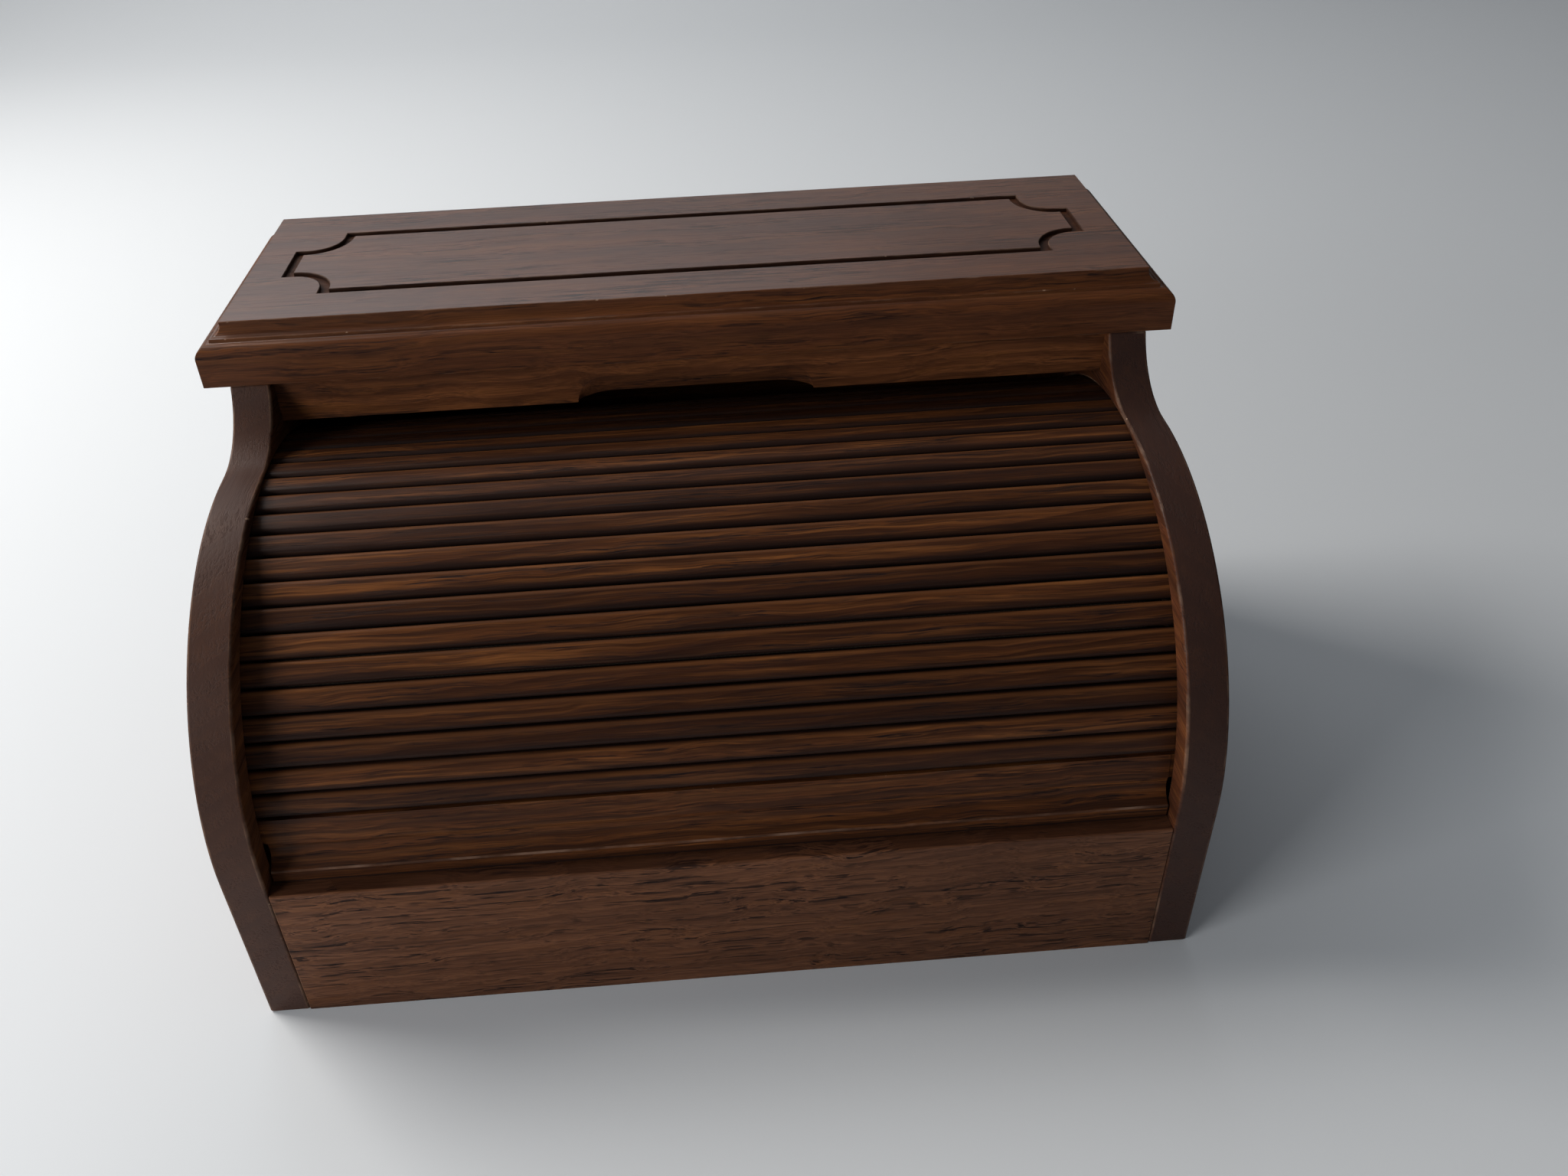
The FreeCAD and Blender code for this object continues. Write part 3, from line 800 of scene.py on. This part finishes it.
@dataclass
class Case:
    """The fixed part: two shaped sides, rail, header, top board, backs and bottom."""

    nodes: dict[str, bpy.types.Object]
    body: str = "case"
    line_from_end: float = 18.0 * MM
    line_from_front: float = 21.0 * MM
    line_depth: float = 1.6 * MM
    line_brim: float = 0.02 * MM
    # Painted shade in the routed line of the top board, on its floor and darker on its walls.
    floor_shade: float = 0.6
    wall_shade: float = 0.9
    scoop_half: float = 48.6 * MM
    scoop_depth: float = 1.665 * MM
    scoop_steep: float = 0.8
    scoop_flat: float = 0.995
    # Painted shade on the scoop of the finger notch.
    scoop_shade: float = 0.32
    boards: tuple[Board, ...] = (
        Board("side_left", WoodFinish(
            "side_left_wood", GrainRun.DEEP,
            early=(0.100, 0.036, 0.014), late=(0.062, 0.022, 0.009),
            end_wood=(0.058, 0.030, 0.0225), end_share=0.8,
            ring_gap=6.5, heart_below=70.0, seed=1.3, glow_share=0.3), 0.9 * MM),
        Board("side_right", WoodFinish(
            "side_right_wood", GrainRun.DEEP,
            early=(0.088, 0.028, 0.0115), late=(0.060, 0.0195, 0.0085),
            end_wood=(0.037, 0.0195, 0.0155), end_share=0.85,
            ring_gap=6.0, heart_below=64.0, seed=2.9, glow_share=0.4, chips=0.9), 0.9 * MM),
        # level_shade paints shade onto the rail's level top, below the lead bar's lip.
        Board("front_rail", WoodFinish(
            "rail_wood", early=(0.140, 0.056, 0.026), late=(0.100, 0.039, 0.018), pore_share=0.9,
            shade_share=0.3, glow_share=0.25, waves=14.0, level_shade=0.5,
            ring_gap=4.6, heart_tilt=5.0, heart_below=38.0, seed=4.1), 0.3 * MM),
        # The header's colours are lighter than the top board's, painted light for a face that sits in
        # the top board's shadow.
        Board("header", WoodFinish(
            "header_wood", early=(0.165, 0.057, 0.020), late=(0.102, 0.035, 0.013),
            seed=5.2), 0.3 * MM),
        Board("top_board", WoodFinish(
            "top_wood", early=(0.100, 0.0325, 0.0110), late=(0.076, 0.0245, 0.0085),
            ring_gap=7.0, heart_below=52.0, heart_tilt=2.0, seed=6.4, level_coat=0.8,
            shade_share=0.3, glow_share=0.3, waves=6.0), 0.4 * MM),
        Board("bottom_board", WoodFinish("bottom_wood", seed=7.7), 0.3 * MM),
        Board("back_panel", WoodFinish("back_wood", seed=8.6), 0.3 * MM),
        Board("inner_back", WoodFinish("inner_wood", seed=9.4), 0.3 * MM),
    )

    def build(self) -> list[bpy.types.Object]:
        """Dresses each board over its solid.

        Returns:
            The pieces.
        """
        pieces = []
        for board in self.boards:
            piece = eased_copy(self.nodes[board.node], board.node + "_dressed", board.ease)
            if board.node == "top_board":
                self._darken_line(piece)
            if board.node == "header":
                self._darken_scoop(piece)
            dressed(piece, board.finish.material(), self.body)
            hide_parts(board.node)
            pieces.append(piece)
        return pieces

    def _darken_line(self, top: bpy.types.Object) -> None:
        """Marks the routed line in the top board for painted shade, darker on its walls than on its
        floor.

        Args:
            top: The top board's copy.
        """
        low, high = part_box("top_board")

        def routed(face: bpy.types.MeshPolygon) -> bool:
            """Tells whether a face lies in the routed line."""
            spot = face.center
            return (
                abs(spot.x) < high.x - self.line_from_end
                and spot.y > low.y + self.line_from_front
                and high.z - self.line_depth < spot.z < high.z - self.line_brim)

        def darkness(face: bpy.types.MeshPolygon) -> float:
            """Says how dark a face of the line is."""
            if not routed(face):
                return 0.0
            return self.floor_shade if face.normal.z > LEVEL_FROM else self.wall_shade

        marked(top, "shaded_recess", darkness)
        marked(top, "level", lambda face: float(face.normal.z > LEVEL_FROM and not routed(face)))

    def _darken_scoop(self, header: bpy.types.Object) -> None:
        """Marks the scooped front of the finger notch for painted shade on its sloped faces.

        Args:
            header: The header's copy.
        """
        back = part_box("header")[0].y + self.scoop_depth

        def darkness(face: bpy.types.MeshPolygon) -> float:
            """Says how dark a face of the scoop is."""
            sloped = self.scoop_steep < -face.normal.y < self.scoop_flat
            inside = abs(face.center.x) < self.scoop_half and face.center.y < back
            return self.scoop_shade if sloped and inside else 0.0

        marked(header, "shaded_recess", darkness)


@dataclass(frozen=True)
class SlatTree:
    """Geometry Nodes tree that lays the lid's slats round the axis of their track."""

    name: str = "slats_round_track"
    whole_inputs: tuple[str, ...] = ("Count", "Seed")
    real_inputs: tuple[str, ...] = (
        "Axis Y", "Axis Z", "First Angle", "Pitch Angle", "Outer Radius", "Inner Radius",
        "Half Width", "Length", "Face Round", "Back Round", "Play")
    corner_steps: int = 5

    def build(self, finish: bpy.types.Material) -> bpy.types.NodeTree:
        """Writes the tree.

        Args:
            finish: The slats' material.

        Returns:
            The tree.
        """
        tree = bpy.data.node_groups.new(self.name, "GeometryNodeTree")
        for names, kind in (
            (self.whole_inputs, "NodeSocketInt"), (self.real_inputs, "NodeSocketFloat")
        ):
            for name in names:
                tree.interface.new_socket(name, in_out="INPUT", socket_type=kind)
        tree.interface.new_socket("Slats", in_out="OUTPUT", socket_type="NodeSocketGeometry")
        graph = Graph(tree)
        strip = self._strip(graph)
        index = graph.node("GeometryNodeInputIndex")
        seed = self._given(graph, "Seed")
        wobble = graph.node(
            "FunctionNodeRandomValue", {"data_type": "FLOAT"},
            {"Min_001": -1.0, "Max_001": 1.0, "ID": index, "Seed": seed}, "Value_001")
        tone = graph.node(
            "FunctionNodeRandomValue", {"data_type": "FLOAT"},
            {"Min_001": 0.0, "Max_001": 1.0, "ID": index, "Seed": seed + 1.0}, "Value_001")
        sweep = (index + 0.5) * self._given(graph, "Pitch Angle")
        angle = self._given(graph, "First Angle") + sweep
        turn = graph.node("ShaderNodeCombineXYZ", None, {"X": 0.0 - angle})
        spot = graph.node(
            "ShaderNodeCombineXYZ", None,
            {
                "Y": self._given(graph, "Axis Y"),
                "Z": self._given(graph, "Axis Z") + wobble * self._given(graph, "Play"),
            })
        points = graph.node(
            "GeometryNodeMeshLine", {"mode": "OFFSET"},
            {"Count": self._given(graph, "Count"), "Offset": (0.0, 0.0, 0.0)})
        points = graph.node("GeometryNodeSetPosition", None, {"Geometry": points, "Position": spot})
        laid = graph.node(
            "GeometryNodeInstanceOnPoints", None,
            {
                "Points": points,
                "Instance": strip,
                "Rotation": graph.node("FunctionNodeEulerToRotation", None, {"Euler": turn}),
            })
        toned = graph.node(
            "GeometryNodeStoreNamedAttribute", {"data_type": "FLOAT", "domain": "INSTANCE"},
            {"Geometry": laid, "Name": "slat_tone", "Value": tone})
        real = graph.node("GeometryNodeRealizeInstances", None, {"Geometry": toned})
        done = graph.node("GeometryNodeSetMaterial", None, {"Geometry": real, "Material": finish})
        graph.node("NodeGroupOutput", None, {"Slats": done})
        return tree

    @staticmethod
    def _given(graph: Graph, name: str) -> Signal:
        """One of the tree's named inputs."""
        return graph.node("NodeGroupInput", output=name)

    def _strip(self, graph: Graph) -> Signal:
        """One slat along X, its face towards -Y, with the axis at the origin.

        Args:
            graph: The tree.

        Returns:
            The slat's mesh.
        """
        outer = self._given(graph, "Outer Radius")
        inner = self._given(graph, "Inner Radius")
        half = self._given(graph, "Half Width")
        corners = {}
        for place, (reach, side) in enumerate(
            ((outer, 0.0 - half), (outer, half), (inner, half), (inner, 0.0 - half)), start=1
        ):
            corners["Point %d" % place] = graph.node(
                "ShaderNodeCombineXYZ", None, {"X": reach, "Y": side})
        section = graph.node(
            "GeometryNodeCurvePrimitiveQuadrilateral", {"mode": "POINTS"}, corners)
        face_round = self._given(graph, "Face Round")
        back_round = self._given(graph, "Back Round")
        at_face = graph.node("GeometryNodeInputIndex") < 1.5
        section = graph.node(
            "GeometryNodeFilletCurve", {"mode": "POLY"},
            {
                "Curve": section,
                "Count": self.corner_steps,
                "Radius": at_face * face_round + (1.0 - at_face) * back_round,
                "Limit Radius": True,
            })
        reach = self._given(graph, "Length") / 2.0
        path = graph.node(
            "GeometryNodeCurvePrimitiveLine", {"mode": "POINTS"},
            {
                "Start": graph.node("ShaderNodeCombineXYZ", None, {"X": 0.0 - reach}),
                "End": graph.node("ShaderNodeCombineXYZ", None, {"X": reach}),
            })
        strip = graph.node(
            "GeometryNodeCurveToMesh", None,
            {"Curve": path, "Profile Curve": section, "Fill Caps": True})
        spot = graph.node("GeometryNodeInputPosition")
        # How far each point sits back in the face's rounded edges, stored for painted shade in the
        # grooves between slats.
        depth = outer + graph.node("ShaderNodeSeparateXYZ", None, {"Vector": spot}, "Y")
        sunk = graph.ramp(depth / face_round, 0.12, 0.9)
        strip = graph.node(
            "GeometryNodeStoreNamedAttribute", {"data_type": "FLOAT", "domain": "POINT"},
            {"Geometry": strip, "Name": "shaded_recess", "Value": sunk})
        # Height across the slat, stored for painted shade on its lower edge and a painted highlight
        # on its upper edge.
        height = graph.node("ShaderNodeSeparateXYZ", None, {"Vector": spot}, "Z")
        return graph.node(
            "GeometryNodeStoreNamedAttribute", {"data_type": "FLOAT", "domain": "POINT"},
            {"Geometry": strip, "Name": "rise", "Value": height / half})


@dataclass
class Lid:
    """The rolling part: slats, the canvas that joins them and the lead bar with its lip."""

    nodes: dict[str, bpy.types.Object]
    axis_y: float
    axis_z: float
    body: str = "lid"
    slat_count: int = 22
    first_angle: float = math.radians(11.9)
    pitch_angle: float = math.radians(5.2)
    outer_radius: float = 89.0 * MM
    inner_radius: float = 84.0 * MM
    half_width: float = 3.664 * MM
    face_round: float = 1.5 * MM
    back_round: float = 0.3 * MM
    slat_play: float = 0.06 * MM
    slat_seed: int = 11
    bar_ease: float = 0.3 * MM
    lip_foot: float = 0.8 * MM
    lip_rounded_from: float = 3.9 * MM
    lip_rounded_to: float = 4.95 * MM
    lip_front: float = 0.95 * MM
    cloth_thickness: float = 0.45 * MM
    cloth_gap: float = 0.02 * MM
    cloth_rows: int = 4
    cloth_columns: int = 48
    cloth_finish: CanvasFinish = CanvasFinish("canvas")
    slat_finish: WoodFinish = field(default_factory=lambda: WoodFinish(
        "slat_wood", early=(0.076, 0.025, 0.0076), late=(0.036, 0.012, 0.0044), ring_gap=4.0,
        heart_below=33.0, seed=3.4, pore_share=0.7, shade_share=0.6, glow_share=0.75,
        waves=4.0, figure=0.36, flame=0.62, varied=True))
    bar_finish: WoodFinish = field(default_factory=lambda: WoodFinish(
        "lead_bar_wood", early=(0.094, 0.030, 0.0085), late=(0.045, 0.015, 0.0050), ring_gap=4.5,
        heart_below=30.0, heart_tilt=2.0, seed=12.2, pore_share=0.7, chips=0.7,
        waves=5.0, figure=0.26, flame=0.5, glow_share=0.6))

    def build(self) -> list[bpy.types.Object]:
        """Builds and dresses the lid's pieces.

        Returns:
            The pieces.
        """
        slats = self._slats()
        bar = eased_copy(self.nodes["lead_bar"], "lead_bar_dressed", self.bar_ease)
        self._mark_lip(bar)
        dressed(bar, self.bar_finish.material(), self.body)
        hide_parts("lead_bar")
        cloth = self._cloth()
        return [slats, bar, cloth]

    def _mark_lip(self, bar: bpy.types.Object) -> None:
        """Marks the lip's rounded upper edge for a lighter line, partly wear and partly painted
        highlight, and its foot for a painted shadow line.

        Args:
            bar: The lead bar's copy.
        """
        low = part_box("lead_bar")[0]
        mesh = bar.data
        shape = bmesh.new()
        shape.from_mesh(mesh)
        bmesh.ops.bisect_plane(
            shape, geom=shape.verts[:] + shape.edges[:] + shape.faces[:],
            plane_co=(0.0, 0.0, low.z + self.lip_foot), plane_no=(0.0, 0.0, 1.0))
        shape.to_mesh(mesh)
        shape.free()

        def between(face: bpy.types.MeshPolygon, bottom: float, top: float) -> float:
            """One for a face of the lip's front that lies between two heights above its foot."""
            spots = [mesh.vertices[index].co - low for index in face.vertices]
            return float(all(bottom < spot.z < top and spot.y < self.lip_front for spot in spots))

        # A lighter line on the lip's rounded upper edge, partly wear and partly painted highlight.
        marked(bar, "rub_and_highlight", lambda face: between(face, self.lip_rounded_from, self.lip_rounded_to))
        # Painted shadow line at the lip's foot, where it meets the rail.
        marked(bar, "shaded_recess", lambda face: between(face, -SLIVER, self.lip_foot + SLIVER))

    def _slats(self) -> bpy.types.Object:
        """Lays the slats with Geometry Nodes.

        Returns:
            All slats as one piece.
        """
        finish = self.slat_finish.material()
        tree = SlatTree().build(finish)
        holder = bpy.data.objects.new("slats_shape", bpy.data.meshes.new("slats_shape"))
        bpy.context.scene.collection.objects.link(holder)
        laying = holder.modifiers.new("slats", "NODES")
        laying.node_group = tree
        given = {
            "Count": self.slat_count,
            "Axis Y": self.axis_y,
            "Axis Z": self.axis_z,
            "First Angle": self.first_angle,
            "Pitch Angle": self.pitch_angle,
            "Outer Radius": self.outer_radius,
            "Inner Radius": self.inner_radius,
            "Half Width": self.half_width,
            "Length": width_of("slat_01"),
            "Face Round": self.face_round,
            "Back Round": self.back_round,
            "Play": self.slat_play,
            "Seed": self.slat_seed,
        }
        for socket in tree.interface.items_tree:
            if socket.item_type == "SOCKET" and socket.in_out == "INPUT":
                laying[socket.identifier] = given[socket.name]
        piece = finished_copy(holder, "tambour_slats")
        piece.data.shade_smooth()
        piece.data.set_sharp_from_angle(angle=SLAT_CORNER_ANGLE)
        dressed(piece, finish, self.body)
        names = ["slat_%02d" % number for number in range(1, self.slat_count + 1)]
        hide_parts(*names)
        return piece

    def _cloth(self) -> bpy.types.Object:
        """Makes the canvas glued behind the slats.

        Returns:
            The canvas.
        """
        rows = self.slat_count * self.cloth_rows
        columns = self.cloth_columns
        width = width_of("cloth_backing")
        sweep = self.slat_count * self.pitch_angle
        radius = self.inner_radius - self.cloth_gap
        shape = bmesh.new()
        weave = shape.loops.layers.uv.new("weave")
        grid = []
        for row in range(rows + 1):
            angle = self.first_angle + sweep * row / rows
            line = []
            for column in range(columns + 1):
                line.append(shape.verts.new((
                    width * (column / columns - 0.5),
                    self.axis_y - radius * math.cos(angle),
                    self.axis_z + radius * math.sin(angle))))
            grid.append(line)
        length = radius * sweep
        for row in range(rows):
            for column in range(columns):
                face = shape.faces.new((
                    grid[row][column], grid[row][column + 1],
                    grid[row + 1][column + 1], grid[row + 1][column]))
                steps = ((0, 0), (1, 0), (1, 1), (0, 1))
                for corner, (aside, onward) in zip(face.loops, steps):
                    corner[weave].uv = (
                        width * (column + aside) / columns, length * (row + onward) / rows)
        mesh = bpy.data.meshes.new("canvas_shape")
        shape.to_mesh(mesh)
        shape.free()
        mesh.shade_smooth()
        holder = bpy.data.objects.new("canvas_shape", mesh)
        bpy.context.scene.collection.objects.link(holder)
        thick = holder.modifiers.new("thickness", "SOLIDIFY")
        thick.thickness = self.cloth_thickness
        thick.offset = -1.0
        piece = finished_copy(holder, "canvas_backing")
        dressed(piece, self.cloth_finish.material(), self.body)
        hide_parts("cloth_backing")
        return piece


@dataclass
class Lamp:
    """A soft square lamp."""

    name: str
    place: tuple[float, float, float]
    aim: tuple[float, float, float]
    size: float
    power: float
    colour: Colour = (1.0, 1.0, 1.0)

    def hang(self) -> None:
        """Adds the lamp."""
        data = bpy.data.lights.new(self.name, "AREA")
        data.shape = "SQUARE"
        data.size = self.size
        data.energy = self.power
        data.color = self.colour
        lamp = bpy.data.objects.new(self.name, data)
        lamp.location = self.place
        lamp.rotation_euler = (
            Vector(self.aim) - Vector(self.place)).to_track_quat("-Z", "Y").to_euler()
        bpy.context.scene.collection.objects.link(lamp)


@dataclass
class Studio:
    """Pale floor that sweeps up behind the box, soft lamps and the camera."""

    floor_colour: Colour = (0.66, 0.67, 0.68)
    floor_roughness: float = 0.85
    floor_specular: float = 0.2
    sky_colour: Colour = (0.86, 0.92, 1.0)
    sky_strength: float = 0.13
    floor_reach: float = 4.0
    wall_from: float = 1.1
    wall_bend: float = 0.9
    bend_steps: int = 24
    camera_place: tuple[float, float, float] = (0.000444, -0.35757, 0.36016)
    camera_yaw: float = 0.0439
    camera_pitch: float = 0.5950
    camera_roll: float = -0.0405
    lens: float = 28.907
    sensor_width: float = 36.0
    clip_start: float = 10.0 * MM
    shift_x: float = 0.0214
    shift_y: float = -0.0577
    lamps: tuple[Lamp, ...] = (
        Lamp("window", (-0.98, 0.42, 0.98), (0.0, 0.0, 0.05), 0.7, 18.0, (1.0, 0.98, 0.95)),
        Lamp("back_glow", (-0.35, 1.6, 1.6), (0.0, 0.0, 0.15), 1.6, 12.0, (0.90, 0.95, 1.0)),
        Lamp("fill", (-0.95, -0.65, 0.46), (0.0, 0.0, 0.08), 0.5, 7.5, (0.96, 0.98, 1.0)),
    )

    def build(self) -> None:
        """Builds the floor, the light and the camera."""
        self._floor()
        world = bpy.data.worlds.new("soft_sky")
        world.use_nodes = True
        graph = Graph(world.node_tree)
        sky = graph.node(
            "ShaderNodeBackground", None,
            {"Color": (*self.sky_colour, 1.0), "Strength": self.sky_strength})
        graph.node("ShaderNodeOutputWorld", None, {"Surface": sky})
        bpy.context.scene.world = world
        for lamp in self.lamps:
            lamp.hang()
        self._camera()
        bpy.context.scene.view_settings.view_transform = "Standard"

    def _floor(self) -> None:
        """Lays the floor with a round sweep up to the wall behind."""
        line = [(-self.floor_reach, 0.0), (self.wall_from, 0.0)]
        for step in range(1, self.bend_steps + 1):
            angle = math.pi / 2 * step / self.bend_steps
            line.append((
                self.wall_from + self.wall_bend * math.sin(angle),
                self.wall_bend * (1 - math.cos(angle))))
        line.append((self.wall_from + self.wall_bend, self.floor_reach))
        shape = bmesh.new()
        ends = [
            [shape.verts.new((side * self.floor_reach, deep, high)) for side in (-1, 1)]
            for deep, high in line]
        for near, far in zip(ends, ends[1:]):
            shape.faces.new((near[0], near[1], far[1], far[0]))
        mesh = bpy.data.meshes.new("floor")
        shape.to_mesh(mesh)
        shape.free()
        mesh.shade_smooth()
        floor = bpy.data.objects.new("floor", mesh)
        bpy.context.scene.collection.objects.link(floor)
        made = bpy.data.materials.new("floor_cloth")
        made.use_nodes = True
        graph = Graph(made.node_tree)
        shader = graph.node(
            "ShaderNodeBsdfPrincipled", None,
            {
                "Base Color": (*self.floor_colour, 1.0),
                "Roughness": self.floor_roughness,
                "Specular IOR Level": self.floor_specular,
            })
        graph.node("ShaderNodeOutputMaterial", None, {"Surface": shader})
        mesh.materials.append(made)

    def _camera(self) -> None:
        """Sets the camera where the photograph was taken from."""
        yaw, pitch, roll = self.camera_yaw, self.camera_pitch, self.camera_roll
        ahead = Vector((
            math.sin(yaw) * math.cos(pitch), math.cos(yaw) * math.cos(pitch), -math.sin(pitch)))
        level = Vector((math.cos(yaw), -math.sin(yaw), 0.0))
        rise = level.cross(ahead)
        right = level * math.cos(roll) + rise * math.sin(roll)
        up = rise * math.cos(roll) - level * math.sin(roll)
        data = bpy.data.cameras.new("camera")
        data.sensor_fit = "HORIZONTAL"
        data.sensor_width = self.sensor_width
        data.lens = self.lens
        data.shift_x = self.shift_x
        data.shift_y = self.shift_y
        data.clip_start = self.clip_start
        camera = bpy.data.objects.new("camera", data)
        turned = Matrix((right, up, -ahead)).transposed().to_4x4()
        camera.matrix_world = Matrix.Translation(Vector(self.camera_place)) @ turned
        bpy.context.scene.collection.objects.link(camera)
        bpy.context.scene.camera = camera


def main() -> None:
    """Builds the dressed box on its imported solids, with floor, light and camera."""
    logging.basicConfig(level=logging.INFO, format="%(name)s: %(message)s")
    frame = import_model()
    axis = frame["record"]["behaviour"]["joints"][0]["pos_m"]
    pieces = Case(frame["nodes"]).build() + Lid(frame["nodes"], axis[1], axis[2]).build()
    Studio().build()
    log.info("%d pieces", len(pieces))


if __name__ == "__main__":
    main()
